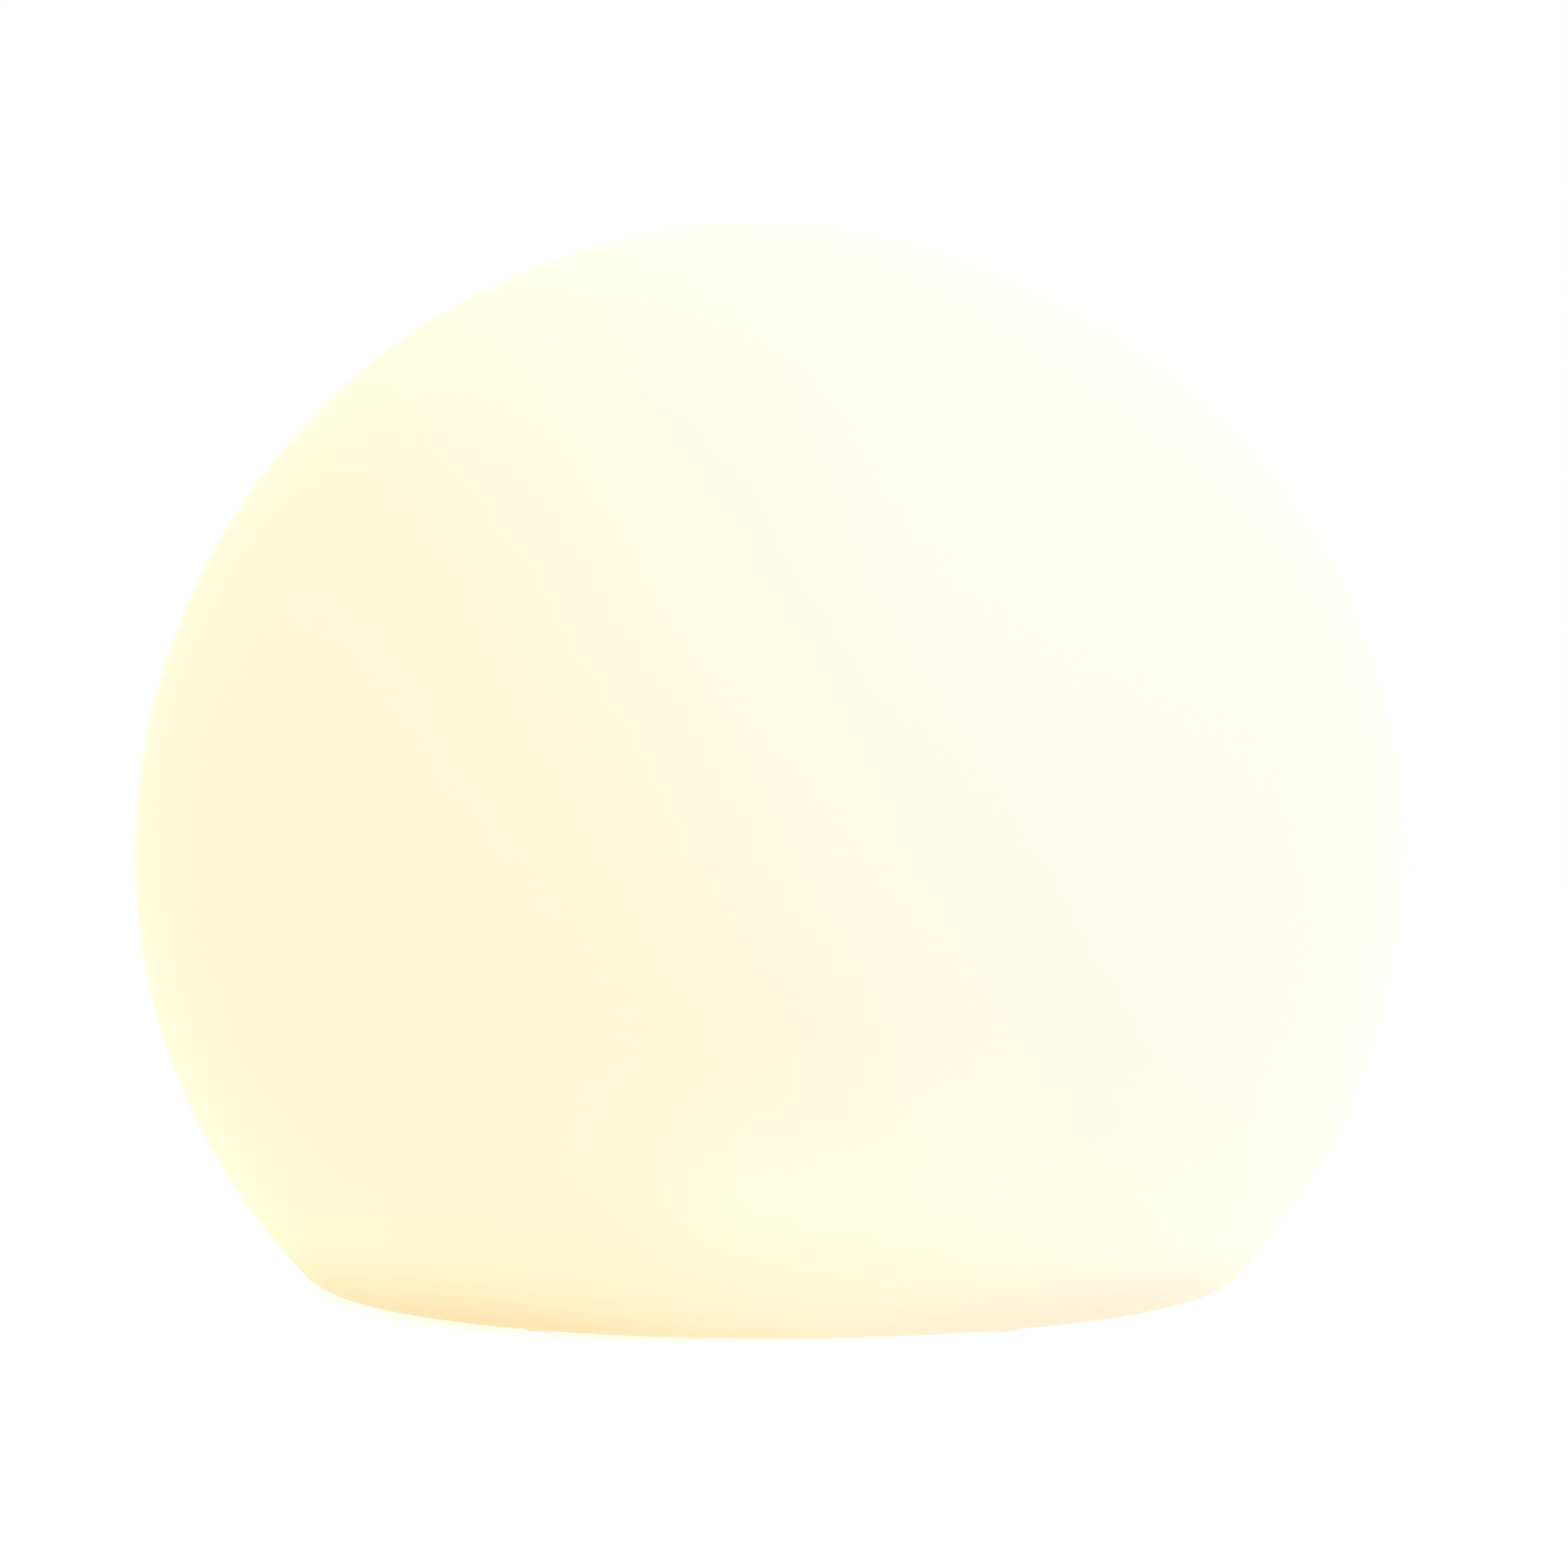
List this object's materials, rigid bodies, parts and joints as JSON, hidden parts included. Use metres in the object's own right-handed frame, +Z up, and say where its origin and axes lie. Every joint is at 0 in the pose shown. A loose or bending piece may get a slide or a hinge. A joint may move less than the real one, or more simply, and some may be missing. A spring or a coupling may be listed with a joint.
{
  "type": "garden globe light",
  "caption": "Glowing translucent globe with a flat base ring and a twist-out rechargeable base module with push button, covered charging port and fold-out hanging loop.",
  "frame": {"origin": "on the globe's axis, on the surface that the feet stand on", "axes": "+Z up along the globe's axis; -Y faces the picture's viewer; +X to the viewer's right"},
  "size_m": [0.25, 0.25, 0.2094],
  "materials": {
    "bail_steel": "stainless steel wire, polished",
    "button_rubber": "grey soft-touch button cap",
    "cell_wrap": "shrink-wrapped battery cell",
    "chip_plastic": "black moulded electronic parts",
    "clamp_plastic": "moulded off-white plastic, satin",
    "clear_plastic": "clear acrylic light pipe",
    "clip_steel": "stainless sheet, satin",
    "cover_plastic": "moulded off-white plastic, satin",
    "cradle_plastic": "black moulded plastic",
    "dome_plastic": "opal white plastic, frosted",
    "foot_rubber": "matt translucent grey silicone rubber",
    "green_board": "green lacquered circuit board",
    "grip_rubber": "light grey soft-touch rubber, ribbed",
    "housing_plastic": "moulded white plastic, fine texture",
    "lead_red": "red insulated lead",
    "lead_white": "white insulated lead",
    "led_chip": "yellow phosphor in a white frame",
    "neck_plastic": "moulded white plastic, satin",
    "nickel": "nickel strip",
    "pin_steel": "stainless pin",
    "plug_plastic": "cream nylon connector",
    "plunger_plastic": "white switch plunger",
    "reflector_plastic": "white, glossy",
    "screw_steel": "stainless steel, satin",
    "seal_rubber": "matt black rubber",
    "shell": "translucent white polyethylene, satin, lit from inside",
    "socket_metal": "nickel-plated socket shell",
    "spreader_metal": "plain aluminium plate",
    "spring_steel": "bright spring wire",
    "strap_rubber": "black elastic band",
    "tray_plastic": "moulded white plastic, satin",
    "vent_plastic": "dark grey plastic",
    "white_board": "white lacquered circuit board"
  },
  "bodies": {
    "globe": {"globe_shell": "shell", "feet": "foot_rubber", "neck_ring": "neck_plastic", "neck_gasket": "seal_rubber", "clamp_ring": "clamp_plastic", "neck_screws": "screw_steel"},
    "base_module": {"base_housing": "housing_plastic", "twist_grips": "grip_rubber", "base_oring": "seal_rubber", "light_tray": "tray_plastic", "tray_gasket": "seal_rubber", "tray_screws": "screw_steel", "heat_spreader": "spreader_metal", "led_board": "white_board", "led_chips": "led_chip", "board_screws": "screw_steel", "reflector_ring": "reflector_plastic", "led_dome": "dome_plastic", "lead_grommet": "seal_rubber", "battery_cells": "cell_wrap", "battery_cradle": "cradle_plastic", "cradle_screws": "screw_steel", "cell_tabs": "nickel", "battery_strap": "strap_rubber", "control_board": "green_board", "control_screws": "screw_steel", "control_chips": "chip_plastic", "charge_board": "green_board", "charge_screws": "screw_steel", "charge_socket": "socket_metal", "socket_gasket": "seal_rubber", "button_spring": "spring_steel", "button_retainer": "cradle_plastic", "switch_body": "chip_plastic", "port_pin": "pin_steel", "light_pipe": "clear_plastic", "vent_plug": "vent_plastic", "bail_clips": "clip_steel", "bail_screws": "screw_steel", "lead_plugs": "plug_plastic", "battery_lead": "lead_red", "led_lead": "lead_white", "charge_lead": "lead_white"},
    "power_button": {"power_button": "button_rubber", "button_seal": "seal_rubber", "switch_plunger": "plunger_plastic"},
    "port_cover": {"port_cover": "cover_plastic", "port_seal": "seal_rubber"},
    "hang_bail": {"hang_bail": "bail_steel"}
  },
  "joints": [
    {"name": "base_twist", "type": "hinge", "parent": "globe", "child": "base_module", "pos_m": [0, 0, 0.0117], "axis": [0, 0, 1], "range_deg": [-40, 0]},
    {"name": "power_press", "type": "slide", "parent": "base_module", "child": "power_button", "axis": [0, 0, 1], "range_m": [0, 0.001], "stiffness_N_per_m": 900, "springref_m": -0.0015, "deforming": ["button_spring"]},
    {"name": "port_cover_hinge", "type": "hinge", "parent": "base_module", "child": "port_cover", "pos_m": [0, -0.0148, 0.0102], "axis": [1, 0, 0], "range_deg": [0, 110]},
    {"name": "bail_fold", "type": "hinge", "parent": "base_module", "child": "hang_bail", "pos_m": [0, 0, 0.0065], "axis": [-1, 0, 0], "range_deg": [0, 180]}
  ]
}
